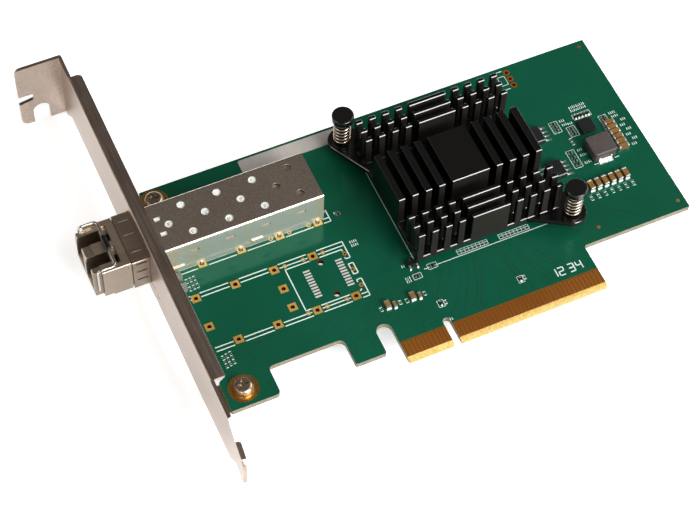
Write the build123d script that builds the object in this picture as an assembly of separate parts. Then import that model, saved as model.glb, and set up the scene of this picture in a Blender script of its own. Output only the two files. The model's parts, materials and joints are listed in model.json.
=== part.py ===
from build123d import *
import os
from math import cos, pi, radians, sin, tan

os.makedirs("parts", exist_ok=True)

# A network interface card: a green board with an edge connector, a full-height slot bracket,
# one port cage with a plugged optical transceiver, a bare place for a second port, and a pinned heatsink.
# X runs along the card, away from the bracket. Y runs up the card, from its contact edge.
# Z points out of the component side. The origin lies on the centre line of the key notch,
# at the lower edge of the contact tongue, on the component side of the board.

# Board
board_thickness = 1.57
board_height = 68.9
board_right = 68.9
board_left = -53.2
wing_low = 12.4
ear_left = -55.35
ear_right = -43.2
ear_low = 4.2
ear_step = 13.4
inner_low = 11.7
hook_left = -24.3
hook_right = -16.5
corner_round = 1.0
inner_round = 1.5

# Contact tongue
short_tongue = 11.65
long_tongue = 38.65
key_width = 1.9
key_depth = 7.4
bevel_length = 1.3
bevel_depth = 0.5
contact_pitch = 1.0
contact_width = 0.7
contact_low = 1.35
contact_high = 5.1
contact_edge = 1.1
contact_key = 0.55
pad_thickness = 0.04

# Port places: rows of plated holes either side of a port's centre line
port_centre = 51.1
port_pitch = 22.75
row_half = 7.125
lower_row_start = -46.65
upper_row_start = -51.65
hole_pitch = 10.0
holes_in_row = 4
pin_hole = 1.05
pad_side = 2.1
centre_row_drop = 1.3
locating_x = -20.6
locating_half = 4.78
locating_hole = 1.55
end_row_x = -14.3
via_places = (-28.9, -24.1, -19.0)
via_pad = 1.1
via_hole = 0.5
land_left_x = -24.8
land_right_x = -16.45
land_pitch = 0.83
lands_in_row = 10
land_length = 1.7
land_width = 0.45

# Slot bracket
sheet = 0.86
bend_inside = 0.1
bend_outside = 0.6
bracket_face = -59.5
strip_width = 18.42
strip_low = -4.2
strip_length = 120.02
tab_top = 105.6
tab_depth = 11.43
tab_round = 1.8
tab_extra = 3.2
tab_extra_start = 100.0
notch_width = 4.3
notch_depth = 6.3
notch_offset = 6.1
slit_length = 3.8
slit_width = 2.2
slit_height = 3.6
foot_width = 10.19
foot_length = 6.1
foot_angle = 6.0
foot_lip = 1.2
flange_depth = 3.4
flange_round = 1.2
flange_start = 6.0
flange_end = 98.1
cutout_clearance = 0.2
window_diameter = 1.5
window_offset = 9.1
window_pitch = 3.15
window_height = 1.1
window_clearance = 0.15

# Bracket screws
screw_x = -50.65
screw_low_y = 8.75
screw_high_y = 64.9
screw_diameter = 3.0
screw_head = 4.8
screw_head_height = 1.9
screw_hole = 3.3
screw_pad = 7.3
screw_reach = 1.2
ear_plate_width = 7.7
ear_plate_reach = 3.8

# Port cage
cage_width = 14.0
cage_top = 10.2
cage_sheet = 0.25
cage_front = -63.4
cage_rear = -15.0
cage_floor_low = 0.55
cage_floor_end = -27.0
cage_pin_width = 0.6
cage_pin_reach = 2.7
vent_diameter = 2.0
vent_pitch = 9.13
vent_rows = ((-47.2, 4.0), (-51.75, 0.0), (-47.2, -4.0))
collar_length = 4.75
collar_slit = 0.45
collar_slit_start = 0.9
collar_slit_length = 2.6
collar_top_slits = (5.0, 1.0, -4.1)
collar_side_slits = (3.1, 6.4, 9.5)
cage_round = 0.6
side_flap_places = (-33.8, -53.9)
side_flap_length = 3.0
side_flap_low = 1.4
side_flap_high = 2.2
side_flap_reach = 0.35
side_slot_start = -48.2
side_slot_low = 6.3
side_slot_high = 7.1
side_slot_half = 1.1
tab_slot_front = -54.6
tab_slot_rear = -53.0
tab_slot_offsets = (-2.1, 2.3)
tab_slot_half = 0.6
rear_slot_inner = 3.0
rear_slot_outer = 4.5
rear_slot_low = 2.0
rear_slot_high = 8.0

# Host connector inside the cage
connector_front = -23.9
connector_rear = -17.2
connector_width = 10.4
connector_height = 5.6
slot_width = 9.6
slot_depth = 5.0
slot_clearance = 0.1
lead_width = 0.3
lead_thickness = 0.16

# Transceiver
module_width = 13.4
module_gap = 0.05
module_rear = -17.6
module_step = -26.5
module_wall = 1.0
cover_sheet = 0.3
head_front = -73.0
head_width = 14.1
head_low = 0.2
head_gap = 0.3
head_high = 10.5
nose_length = 2.1
nose_width = 12.2
port_half_pitch = 3.125
port_width = 4.7
port_low = 2.4
port_high = 8.6
port_wall = 1.5
port_depth = 9.4
latch_slot_width = 3.0
latch_slot_length = 5.3
latch_window_front = -66.8
latch_window_length = 1.0
latch_window_width = 4.7
window_ledge_width = 2.0
window_ledge_depth = 0.5
top_slot_x = -69.6
top_slot_y = 5.7
top_slot_length = 2.0
top_slot_width = 0.9
side_step_length = 2.2
side_step_height = 0.6
side_hole_x = -65.2
side_hole_z = 8.8
side_hole_size = 0.7
optic_height = 5.4
barrel_radius = 1.25
barrel_bore = 0.64
barrel_length = 6.0
can_radius = 2.4
can_length = 7.0
edge_board_low = 3.0
edge_board_thickness = 1.0
edge_board_tongue = 9.2
edge_board_gap = 0.5

# Bail and latch
wire_radius = 0.32
bail_pivot_x = -71.9
bail_pivot_z = 2.8
bail_bar_x = -67.4
bail_bar_z = 11.35
bail_half = 6.65
bail_end_half = 5.2
bail_bend = 1.0
pivot_clearance = 0.1
sleeve_radius = 0.72
sleeve_length = 4.1
sleeve_offset = 0.1
arm_low = 0.85
arm_thickness = 0.4
arm_width = 4.4
arm_front = -69.5
arm_rear = -56.9
arm_pivot_x = -64.6
arm_pivot_radius = 0.4
arm_pivot_half = 3.1
arm_post = 1.6
arm_post_low = 0.3
arm_recess_high = 1.95
arm_recess_clearance = 0.4
latch_hole_clearance = 0.3

# Controller and heatsink
chip_x = 18.8
chip_y = 41.0
substrate_side = 25.0
substrate_height = 1.5
lid_side = 20.0
lid_height = 0.7
thermal_pad_height = 0.3
sink_length = 38.2
sink_width = 36.6
sink_base = 1.5
fin_height = 9.2
short_fin = 1.8
long_fin = 10.0
short_fin_count = 4
fin_thickness = 1.1
fin_row_pitch = 2.8
fin_rows_each_side = 3
block_length = 14.3
ear_radius = 3.6
ear_root = 9.0
fin_clearance = 3.3

# Push pins: half spacings from the chip's centre
pin_half_x = 21.15
pin_half_y = 20.65
pin_head_radius = 2.75
pin_head_height = 2.0
pin_head_round = 0.4
pin_top = 14.0
pin_shaft_radius = 1.3
pin_hole_radius = 1.6
barb_radius = 1.95
barb_tip_radius = 0.8
barb_length = 3.0
barb_gap = 0.1
barb_slot = 0.6
spring_radius = 1.9
spring_wire = 0.28
spring_turns = 6

# Small parts on the board
so_body_length = 4.9
so_body_width = 3.9
so_body_height = 1.6
so_lead_span = 6.0
so_lead_pitch = 1.27
so_lead_width = 0.42
so_lead_thickness = 0.2
so_places = ((43.15, 45.7), (43.4, 34.5))
regulator_x = 56.75
regulator_y = 43.7
regulator_side = 3.8
regulator_height = 0.9
inductor_x = 56.45
inductor_y = 36.0
inductor_side = 6.4
inductor_height = 3.1
inductor_lift = 0.15
inductor_corner = 0.8
terminal_width = 3.7
terminal_sheet = 0.2
terminal_run = 0.9
terminal_foot = 0.8
terminal_rise = 0.9
terminal_ear_width = 0.6
terminal_ear_rise = 1.4
column_x = 62.3
column_start_y = 34.45
column_pitch = 1.57
column_count = 6
row_start_x = 49.2
row_y = 27.05
row_pitch = 1.93
row_count = 6
transistor_x = -0.7
transistor_y = 23.9
header_x = 46.0
header_start_y = 62.7
header_pitch = 2.1
header_count = 3
header_pad = 1.7
header_hole = 0.9
led_depth = 1.1
led_overhang = 0.5
light_recess = 0.1
led_width = 1.6
led_height = 1.8
label_left = -27.6
label_right = -1.4
label_low = 64.2
label_high = 68.2
label_thickness = 0.1
label_round = 0.6

# Chip sizes: length, width, height, end cap length
large_capacitor = (2.7, 1.25, 1.25, 0.42)
medium_capacitor = (2.0, 1.25, 1.0, 0.4)
narrow_capacitor = (1.6, 0.8, 0.8, 0.35)
small_resistor = (1.0, 0.5, 0.35, 0.22)

# Places of the small resistors: x, y and whether the part lies along X
resistor_places = (
    (49.35, 47.6, True), (49.35, 46.6, True), (49.35, 45.5, True),
    (52.9, 44.7, True), (52.9, 43.8, True), (52.9, 42.9, True),
    (55.6, 47.4, False), (56.5, 47.4, False), (57.4, 47.4, False), (58.3, 47.4, False), (59.2, 47.4, False),
    (49.3, 38.1, True), (49.3, 36.5, True), (49.3, 35.4, True), (49.5, 34.1, True),
    (62.0, 44.8, True), (61.9, 43.8, True),
    (-11.1, 44.2, True), (0.85, 11.3, False), (21.2, 9.9, False), (-1.0, 20.4, True), (3.5, 21.7, True),
)
coupling_places = ((-11.0, 15.8), (-4.6, 15.7))
coupling_narrow_places = ((-9.4, 15.2), (-2.9, 15.2))

# Worked out from the sizes above
board_low = -board_thickness
tongue_left = -key_width / 2 - short_tongue
tongue_right = key_width / 2 + long_tongue
spare_centre = port_centre - port_pitch
window_places = (port_centre - window_offset, port_centre - window_offset - window_pitch)
strip_high = strip_low + strip_width
bracket_inner = bracket_face + sheet
tab_end = bracket_face - tab_depth
tab_low = strip_low - tab_extra
foot_end = tab_top - strip_length
foot_start = foot_end + foot_length
foot_inset = (strip_width - foot_width) / 2
cage_low = pad_thickness
cage_floor_high = cage_floor_low + cage_sheet
module_low = cage_floor_high
head_rear = cage_front - cage_sheet - head_gap
module_high = cage_top - cage_sheet - module_gap - cover_sheet
collar_half = cage_width / 2 + cage_sheet
collar_high = cage_top + cage_sheet
collar_rear = cage_front - cage_sheet + collar_length
sink_low = substrate_height + lid_height + thermal_pad_height
sink_base_top = sink_low + sink_base
fin_gap = (sink_length - long_fin - 2 * short_fin_count * short_fin) / (2 * short_fin_count)
near_pin = (chip_x + pin_half_x, chip_y - pin_half_y)
far_pin = (chip_x - pin_half_x, chip_y + pin_half_y)
pin_places = (near_pin, far_pin)
pin_neck_top = pin_top - pin_head_height
screw_places = ((screw_x, screw_low_y), (screw_x, screw_high_y))
slot_high = edge_board_low + edge_board_thickness + slot_clearance
slot_low = edge_board_low - slot_clearance
cavity_low = 2.3
head_core_half = head_width / 2 - cover_sheet
head_core_high = head_high - cover_sheet
overshoot = 1.0


def block(x0, x1, y0, y1, z0, z1):
    """A box between two corners on each axis."""
    return Pos((x0 + x1) / 2, (y0 + y1) / 2, (z0 + z1) / 2) * Box(x1 - x0, y1 - y0, z1 - z0)


def rod(x, y, z0, z1, radius):
    """An upright cylinder."""
    return Pos(x, y, (z0 + z1) / 2) * Cylinder(radius, z1 - z0)


def rod_x(x0, x1, y, z, radius):
    """A cylinder that lies along X."""
    return Pos((x0 + x1) / 2, y, z) * Rot(0, 90, 0) * Cylinder(radius, x1 - x0)


def rod_y(x, y0, y1, z, radius):
    """A cylinder that lies along Y."""
    return Pos(x, (y0 + y1) / 2, z) * Rot(90, 0, 0) * Cylinder(radius, y1 - y0)


def rounded_face(corners):
    """A flat face from corners (a, b, radius), in order round the outline."""
    count = len(corners)
    starts = []
    ends = []
    edges = []
    for i in range(count):
        before = Vector(*corners[i - 1][:2])
        here = Vector(*corners[i][:2])
        after = Vector(*corners[(i + 1) % count][:2])
        radius = corners[i][2]
        if radius == 0:
            starts.append(here)
            ends.append(here)
            continue
        back = (before - here).normalized()
        forward = (after - here).normalized()
        half = radians(back.get_angle(forward)) / 2
        reach = radius / tan(half)
        bisector = (back + forward).normalized()
        middle = here + bisector * (radius / sin(half) - radius)
        starts.append(here + back * reach)
        ends.append(here + forward * reach)
        edges.append(ThreePointArc(starts[i], middle, ends[i]))
    for i in range(count):
        edges.append(Line(ends[i], starts[(i + 1) % count]))
    return make_face(edges)


def save(name, *solids):
    """Writes one node: one solid, or a group of like solids."""
    shape = solids[0] if len(solids) == 1 else Compound(children=list(solids))
    export_step(shape, f"parts/{name}.step")


def port_holes(centre):
    """Pin-hole places of one port: lower row, upper row and centre row; then its small plated holes."""
    lower = [(lower_row_start + hole_pitch * i, centre - row_half) for i in range(holes_in_row)]
    upper = [(upper_row_start + hole_pitch * i, centre + row_half) for i in range(holes_in_row)]
    low = centre - centre_row_drop
    middle_x = upper_row_start + 2 * hole_pitch
    inner = [(upper_row_start, low), (middle_x, low + 2.75), (middle_x, low - 2.75)]
    small = [(end_row_x, centre + side * locating_half) for side in (-1, 0, 1)]
    small += [(x, centre + side * row_half) for x in via_places for side in (-1, 1)]
    return lower, upper, inner, small


def header_places():
    """Hole places of the three-way header."""
    return [(header_x, header_start_y + header_pitch * i) for i in range(header_count)]


def board_outline():
    """The board seen from the component side, with the tongue, the key notch and the hook."""
    slot_round = (tongue_left - hook_right) / 2 - 0.01
    key_round = key_width / 2 - 0.01
    return rounded_face([
        (ear_left, ear_low, 0.3),
        (ear_right, ear_low, corner_round),
        (ear_right, inner_low, corner_round),
        (hook_left, inner_low, inner_round),
        (hook_left, ear_low, 0.5),
        (hook_right, ear_low, 0.5),
        (hook_right, inner_low, slot_round),
        (tongue_left, inner_low, slot_round),
        (tongue_left, 0, 0.5),
        (-key_width / 2, 0, 0.3),
        (-key_width / 2, key_depth, key_round),
        (key_width / 2, key_depth, key_round),
        (key_width / 2, 0, 0.3),
        (tongue_right, 0, 0.5),
        (tongue_right, wing_low, inner_round / 2),
        (board_right, wing_low, 0.3),
        (board_right, board_height, 0.3),
        (board_left, board_height, 0.3),
        (board_left, ear_step, 0.3),
        (ear_left, ear_step - corner_round, corner_round),
    ])


def circuit_board():
    """The bare board with its holes and the bevel along the tongue."""
    holes = []
    for centre in (port_centre, spare_centre):
        lower, upper, inner, small = port_holes(centre)
        holes += [Pos(x, y) * Circle(pin_hole / 2) for x, y in lower + upper + inner]
        holes += [Pos(x, y) * Circle(via_hole / 2) for x, y in small]
        for side in (-1, 1):
            holes.append(Pos(locating_x, centre + side * locating_half) * Circle(locating_hole / 2))
    holes += [Pos(x, y) * Circle(screw_hole / 2) for x, y in screw_places]
    holes += [Pos(x, y) * Circle(pin_hole_radius) for x, y in pin_places]
    holes += [Pos(x, y) * Circle(header_hole / 2) for x, y in header_places()]
    plate = extrude(board_outline() - holes, amount=-board_thickness)
    for z, direction in ((0, 1), (board_low, -1)):
        wedge = make_face(Polyline(
            (0, z + direction * overshoot), (bevel_length, z + direction * overshoot), (bevel_length, z),
            (0, z - direction * bevel_depth), (0, z + direction * overshoot)))
        cutter = extrude(Plane.YZ * wedge, amount=tongue_right - tongue_left + 2 * overshoot)
        plate -= Pos(tongue_left - overshoot, 0, 0) * cutter
    return plate


def edge_contacts(z0, z1):
    """The gold contacts of one side of the tongue."""
    short_first = tongue_left + contact_edge
    short_last = -key_width / 2 - contact_key
    long_first = key_width / 2 + contact_key
    long_last = tongue_right - contact_edge
    half = contact_width / 2
    contacts = []
    for first, last in ((short_first, short_last), (long_first, long_last)):
        count = round((last - first) / contact_pitch) + 1
        for i in range(count):
            x = first + contact_pitch * i
            contacts.append(block(x - half, x + half, contact_low, contact_high, z0, z1))
    return contacts


def square_pad(x, y):
    """A square plated pad round a pin hole."""
    half = pad_side / 2
    pad = block(x - half, x + half, y - half, y + half, 0, pad_thickness)
    return pad - rod(x, y, -overshoot, overshoot, pin_hole / 2)


def ring_pad(x, y, outer, hole):
    """A round plated pad."""
    ring = rod(x, y, 0, pad_thickness, outer / 2)
    return ring - rod(x, y, -overshoot, overshoot, hole / 2)


def connector_lands(centre):
    """Tinned lands of one port's connector."""
    lands = []
    first = centre - land_pitch * (lands_in_row - 1) / 2
    for x in (land_left_x, land_right_x):
        for i in range(lands_in_row):
            y = first + land_pitch * i
            lands.append(block(x - land_length / 2, x + land_length / 2,
                               y - land_width / 2, y + land_width / 2, 0, pad_thickness))
    return lands


def bracket_tab():
    """The bent tab with its screw notch and its slit."""
    low = tab_extra_start
    profile = rounded_face([
        (bracket_face, low, 0),
        (bracket_face, tab_top - sheet, bend_inside),
        (tab_end, tab_top - sheet, 0),
        (tab_end, tab_top, 0),
        (bracket_inner, tab_top, bend_outside),
        (bracket_inner, low, 0),
    ])
    tab = Pos(0, 0, tab_low) * extrude(profile, amount=strip_high - tab_low)
    notch_x = bracket_face - notch_offset
    notch_top = tab_low + notch_depth
    notch = rounded_face([
        (notch_x - notch_width / 2, tab_low - overshoot, 0),
        (notch_x + notch_width / 2, tab_low - overshoot, 0),
        (notch_x + notch_width / 2, notch_top, notch_width / 2 - 0.01),
        (notch_x - notch_width / 2, notch_top, notch_width / 2 - 0.01),
    ])
    slit_low = tab_low + notch_depth + slit_height - 1.0
    slit = rounded_face([
        (tab_end - overshoot, slit_low - 0.9, 0),
        (tab_end + slit_length, slit_low, 0.5),
        (tab_end + slit_length, slit_low + slit_width, 0.5),
        (tab_end - overshoot, slit_low + slit_width, 0),
    ])
    for outline in (notch, slit):
        cutter = extrude(Plane.XZ * outline, amount=2 * (sheet + overshoot), both=True)
        tab -= Pos(0, tab_top, 0) * cutter
    corners = [e for e in tab.edges().filter_by(Axis.Y)
               if abs(e.center().X - tab_end) < 0.01
               and (e.center().Z > strip_high - 0.01 or e.center().Z < tab_low + 0.01)]
    return fillet(corners, tab_round)


def bracket_foot():
    """The narrow end of the strip, bent out a little, with its lip."""
    low = strip_low + foot_inset
    high = strip_high - foot_inset
    outline = rounded_face([
        (foot_start, low, 0),
        (foot_start, high, 0),
        (foot_end, high, 2.4),
        (foot_end, low, 2.4),
    ])
    plate = extrude(Plane.YZ * outline, amount=sheet)
    lip = block(0, foot_lip, foot_end + 1.6, foot_start - 0.3, high - sheet, high)
    foot = plate + lip
    turned = Rot(0, 0, -foot_angle) * (Pos(0, -foot_start, 0) * foot)
    hinge = block(0, sheet, -0.2, 0.15, low, high)
    return Pos(bracket_face, foot_start, 0) * (turned + hinge)


def mounting_bracket():
    """The folded strip with its flange, tab, foot and the two plates under the board."""
    inset = foot_inset
    strip = rounded_face([
        (foot_start, strip_low + inset, 0),
        (foot_start + inset, strip_low, 0.6),
        (tab_extra_start, strip_low, 0),
        (tab_extra_start + tab_extra, tab_low, 0),
        (tab_extra_start + tab_extra + 0.5, tab_low, 0),
        (tab_extra_start + tab_extra + 0.5, strip_high, 0),
        (foot_start + inset, strip_high, 0.6),
        (foot_start, strip_high - inset, 0),
    ])
    body = Pos(bracket_face, 0, 0) * extrude(Plane.YZ * strip, amount=sheet)
    tab = bracket_tab()
    step = make_face(Polyline((tab_extra_start - overshoot, strip_low), (tab_extra_start, strip_low),
                              (tab_extra_start + tab_extra, tab_low),
                              (tab_extra_start + tab_extra, tab_low - overshoot),
                              (tab_extra_start - overshoot, tab_low - overshoot),
                              (tab_extra_start - overshoot, strip_low)))
    tab -= Pos(bracket_face - overshoot, 0, 0) * extrude(Plane.YZ * step, amount=sheet + 2 * overshoot)
    body += tab
    body += bracket_foot()

    flange_profile = rounded_face([
        (bracket_face, strip_high - 3.0, 0),
        (bracket_face, strip_high, bend_outside),
        (bracket_face + flange_depth, strip_high, 0),
        (bracket_face + flange_depth, strip_high - sheet, 0),
        (bracket_inner, strip_high - sheet, bend_inside),
        (bracket_inner, strip_high - 3.0, 0),
    ])
    flange = Pos(0, flange_end, 0) * extrude(Plane.XZ * flange_profile, amount=flange_end - flange_start)
    end_edges = [e for e in flange.edges().filter_by(Axis.Z)
                 if abs(e.center().X - bracket_face - flange_depth) < 0.1 and e.center().Y > flange_end - 1]
    flange = fillet(end_edges, flange_round)
    body -= block(bracket_face - overshoot, bracket_inner + overshoot, flange_start, flange_end,
                  strip_high - 3.0, strip_high + overshoot)
    body += flange

    for x, y in screw_places:
        half = ear_plate_width / 2
        plate = rounded_face([
            (bracket_inner, y - half, 0),
            (x + ear_plate_reach, y - half, 1.2),
            (x + ear_plate_reach, y + half, 1.2),
            (bracket_inner, y + half, 0),
        ])
        plate -= Pos(x, y) * Circle(screw_diameter / 2)
        body += Pos(0, 0, board_low) * extrude(plate, amount=-sheet)

    clear = cutout_clearance
    body -= block(bracket_face - overshoot, bracket_inner + overshoot,
                  port_centre - collar_half - clear, port_centre + collar_half + clear,
                  cage_low - cage_sheet - clear, collar_high + clear)
    for y in window_places:
        body -= rod_x(bracket_face - overshoot, bracket_inner + overshoot, y, window_height,
                      window_diameter / 2)
    return body


def bracket_screw(x, y):
    """A domed cross-recess screw through the board into the bracket."""
    head = rod(x, y, pad_thickness, screw_head_height, screw_head / 2)
    head = fillet(head.edges().sort_by(Axis.Z)[-1], 1.0)
    shaft = rod(x, y, board_low - sheet - screw_reach, pad_thickness, screw_diameter / 2 - 0.02)
    recess = [block(x - 1.3, x + 1.3, y - 0.28, y + 0.28, screw_head_height - 0.9, screw_head_height + overshoot),
              block(x - 0.28, x + 0.28, y - 1.3, y + 1.3, screw_head_height - 0.9, screw_head_height + overshoot)]
    return head + shaft - recess


def collar_slits():
    """The slits that part the collar's spring fingers, cut through the cage under them too."""
    half = cage_width / 2
    start = cage_front - cage_sheet + collar_slit_start
    stop = start + collar_slit_length
    slit = collar_slit / 2
    cuts = []
    for offset in collar_top_slits:
        y = port_centre + offset
        cuts.append(block(start, stop, y - slit, y + slit, cage_top - overshoot, collar_high + overshoot))
        cuts.append(block(start, stop, y - slit, y + slit, cage_low - overshoot, cage_low + cage_sheet))
    for z in collar_side_slits:
        for y in (port_centre - half, port_centre + half):
            cuts.append(block(start, stop, y - overshoot, y + overshoot, z - slit, z + slit))
    return cuts


def cage_shell():
    """The folded cage: top, sides and rear, with vents, and pins into the board."""
    half = cage_width / 2
    outer = block(cage_front, cage_rear, port_centre - half, port_centre + half, cage_low, cage_top)
    outer = fillet(outer.edges().filter_by(Axis.X).group_by(Axis.Z)[-1], cage_round)
    inner = block(cage_front - overshoot, cage_rear - cage_sheet, port_centre - half + cage_sheet,
                  port_centre + half - cage_sheet, cage_low - overshoot, cage_top - cage_sheet)
    inner = fillet(inner.edges().filter_by(Axis.X).group_by(Axis.Z)[-1], cage_round - cage_sheet)
    shell = outer - inner
    cuts = []
    for start, offset in vent_rows:
        for i in range(4):
            x = start + vent_pitch * i
            cuts.append(rod(x, port_centre + offset, cage_top - overshoot, cage_top + overshoot,
                            vent_diameter / 2))
    for i in range(4):
        x = side_slot_start + vent_pitch * i
        for y in (port_centre - half, port_centre + half):
            cuts.append(block(x - side_slot_half, x + side_slot_half, y - overshoot, y + overshoot,
                              side_slot_low, side_slot_high))
    for offset in tab_slot_offsets:
        y = port_centre + offset
        cuts.append(block(tab_slot_front, tab_slot_rear, y - tab_slot_half, y + tab_slot_half,
                          cage_top - overshoot, cage_top + overshoot))
    for y0, y1 in ((-rear_slot_outer, -rear_slot_inner), (rear_slot_inner, rear_slot_outer)):
        cuts.append(block(cage_rear - overshoot, cage_rear + overshoot, port_centre + y0, port_centre + y1,
                          rear_slot_low, rear_slot_high))
    shell -= cuts + collar_slits()
    for x in side_flap_places:
        for side in (-1, 1):
            near, far = sorted((port_centre + side * (half - cage_sheet),
                                port_centre + side * (half + side_flap_reach)))
            shell += block(x, x + side_flap_length, near, far, side_flap_low, side_flap_high)
    lower, upper, _, _ = port_holes(port_centre)
    reach = cage_pin_width / 2
    for x, y in lower:
        shell += block(x - reach, x + reach, y - 0.12, y + 0.25, board_low - cage_pin_reach / 2, 1.0)
    for x, y in upper:
        shell += block(x - reach, x + reach, y - 0.25, y + 0.12, board_low - cage_pin_reach / 2, 1.0)
    return shell


def cage_floor():
    """The bottom plate of the cage, with the hole that the latch post drops into."""
    half = cage_width / 2 - cage_sheet
    plate = block(cage_front + 0.4, cage_floor_end, port_centre - half, port_centre + half,
                  cage_floor_low, cage_floor_high)
    clear = latch_hole_clearance
    reach = arm_post / 2 + clear
    post_x = arm_rear - arm_post / 2
    return plate - block(post_x - reach, post_x + reach, port_centre - arm_post - clear,
                         port_centre + arm_post + clear, cage_floor_low - overshoot,
                         cage_floor_high + overshoot)


def cage_collar():
    """The slit spring collar round the mouth of the cage, which fills the bracket's opening."""
    half = cage_width / 2
    front = cage_front - cage_sheet
    low = cage_low - cage_sheet
    outer = block(front, collar_rear, port_centre - collar_half, port_centre + collar_half, low, collar_high)
    outer = fillet(outer.edges().filter_by(Axis.X), 0.3)
    inner = block(cage_front, collar_rear + overshoot, port_centre - half, port_centre + half,
                  cage_low, cage_top)
    mouth = block(front - overshoot, cage_front + overshoot, port_centre - half + cage_sheet,
                  port_centre + half - cage_sheet, cage_low + cage_sheet, cage_top - cage_sheet)
    collar = outer - inner - mouth
    return collar - collar_slits()


def host_connector():
    """The connector inside the cage that takes the transceiver's edge board."""
    half = connector_width / 2
    body = block(connector_front, connector_rear, port_centre - half, port_centre + half,
                 pad_thickness, connector_height)
    return body - block(connector_front - overshoot, connector_front + slot_depth,
                        port_centre - slot_width / 2, port_centre + slot_width / 2, slot_low, slot_high)


def connector_leads():
    """Gull-wing leads along both edges of the connector."""
    leads = []
    first = port_centre - land_pitch * (lands_in_row - 1) / 2
    half = lead_width / 2
    low = pad_thickness
    for i in range(lands_in_row):
        y = first + land_pitch * i
        front_foot = block(connector_front - 1.0, connector_front, y - half, y + half, low, low + lead_thickness)
        front_rise = block(connector_front - lead_thickness, connector_front, y - half, y + half, low, 1.4)
        rear_foot = block(connector_rear, connector_rear + 1.0, y - half, y + half, low, low + lead_thickness)
        rear_rise = block(connector_rear, connector_rear + lead_thickness, y - half, y + half, low, 1.4)
        leads += [front_foot + front_rise, rear_foot + rear_rise]
    return leads


def transceiver_housing():
    """The cast body: a wide head with two fibre ports, and a tray that slides into the cage."""
    half = module_width / 2
    body = block(head_rear - 0.5, module_rear, port_centre - half, port_centre + half,
                 module_low, module_high)
    inner = half - module_wall
    body -= block(head_front + port_depth + port_wall, module_step, port_centre - inner, port_centre + inner,
                  cavity_low, module_high + overshoot)
    body -= block(module_step - 0.01, module_rear + overshoot, port_centre - inner, port_centre + inner,
                  module_low - overshoot, module_high - 0.6)
    head = block(head_front + nose_length, head_rear, port_centre - head_core_half,
                 port_centre + head_core_half, head_low, head_core_high)
    nose = block(head_front, head_front + nose_length, port_centre - nose_width / 2,
                 port_centre + nose_width / 2, head_low + 0.5, head_core_high)
    nose = fillet(nose.edges().filter_by(Axis.Y).sort_by(Axis.X)[:2], 0.4)
    body += head
    body += nose
    body -= block(head_rear - cover_sheet, head_rear + overshoot, port_centre - half, port_centre + half,
                  module_high, head_high)
    for side in (-1, 1):
        y = port_centre + side * port_half_pitch
        body -= block(head_front - overshoot, head_front + port_depth, y - port_width / 2, y + port_width / 2,
                      port_low, port_high)
        reach = latch_slot_width / 2
        body -= block(head_front - overshoot, head_front + latch_slot_length, y - reach, y + reach,
                      port_high - overshoot, head_core_high + overshoot)
        near = y - latch_window_width / 2
        far = y + latch_window_width / 2
        body -= block(latch_window_front, latch_window_front + latch_window_length, near,
                      far - window_ledge_width, port_high - overshoot, head_core_high + overshoot)
        body -= block(latch_window_front, latch_window_front + latch_window_length, far - window_ledge_width,
                      far, head_core_high - window_ledge_depth, head_core_high + overshoot)
        body -= rod_x(head_front + port_depth - overshoot, head_front + port_depth + port_wall + overshoot,
                      y, optic_height, barrel_radius)
    clear = arm_recess_clearance
    body -= block(arm_front - clear, arm_rear + clear, port_centre - arm_width / 2 - clear,
                  port_centre + arm_width / 2 + clear, head_low - overshoot, arm_recess_high)
    body -= rod_y(arm_pivot_x, port_centre - arm_pivot_half - 0.1, port_centre + arm_pivot_half + 0.1,
                  arm_low + arm_thickness / 2, arm_pivot_radius + 0.05)
    body -= rod_y(bail_pivot_x, port_centre - half, port_centre - bail_end_half + 0.1,
                  bail_pivot_z, wire_radius + pivot_clearance)
    body -= rod_y(bail_pivot_x, port_centre + bail_end_half - 0.1, port_centre + half,
                  bail_pivot_z, wire_radius + pivot_clearance)
    return body


def transceiver_cover():
    """The folded sheet cover: over the head and its sides, then along the top of the tray."""
    half = head_width / 2
    front = head_front + nose_length
    hood = block(front, head_rear, port_centre - half, port_centre + half, head_low, head_high)
    hood = fillet(hood.edges().filter_by(Axis.X).group_by(Axis.Z)[-1], 0.28)
    hood -= block(front - overshoot, head_rear + overshoot, port_centre - head_core_half,
                  port_centre + head_core_half, head_low - overshoot, head_core_high)
    for side in (-1, 1):
        y = port_centre + side * port_half_pitch
        reach = latch_slot_width / 2
        hood -= block(front - overshoot, head_front + latch_slot_length, y - reach, y + reach,
                      head_core_high - overshoot, head_high + overshoot)
        half_window = latch_window_width / 2
        hood -= block(latch_window_front, latch_window_front + latch_window_length, y - half_window,
                      y + half_window, head_core_high - overshoot, head_high + overshoot)
        inner, outer = sorted((port_centre + side * (head_core_half - overshoot),
                               port_centre + side * (half + overshoot)))
        hood -= block(front - overshoot, front + side_step_length, inner, outer,
                      head_low - overshoot, head_low + side_step_height)
        hood -= block(side_hole_x, side_hole_x + side_hole_size, inner, outer, side_hole_z,
                      side_hole_z + side_hole_size)
    slot_y = port_centre + top_slot_y
    slot_half = (top_slot_length - top_slot_width) / 2
    hood -= block(top_slot_x - slot_half, top_slot_x + slot_half, slot_y - top_slot_width / 2,
                  slot_y + top_slot_width / 2, head_core_high - overshoot, head_high + overshoot)
    for end in (-slot_half, slot_half):
        hood -= rod(top_slot_x + end, slot_y, head_core_high - overshoot, head_high + overshoot,
                    top_slot_width / 2)
    reach = module_width / 2 - cage_round + cage_sheet
    web = block(head_rear - cover_sheet, head_rear, port_centre - reach, port_centre + reach,
                module_high, head_high)
    plate = block(head_rear - cover_sheet, module_step, port_centre - reach, port_centre + reach,
                  module_high, module_high + cover_sheet)
    return hood + web + plate


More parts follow.
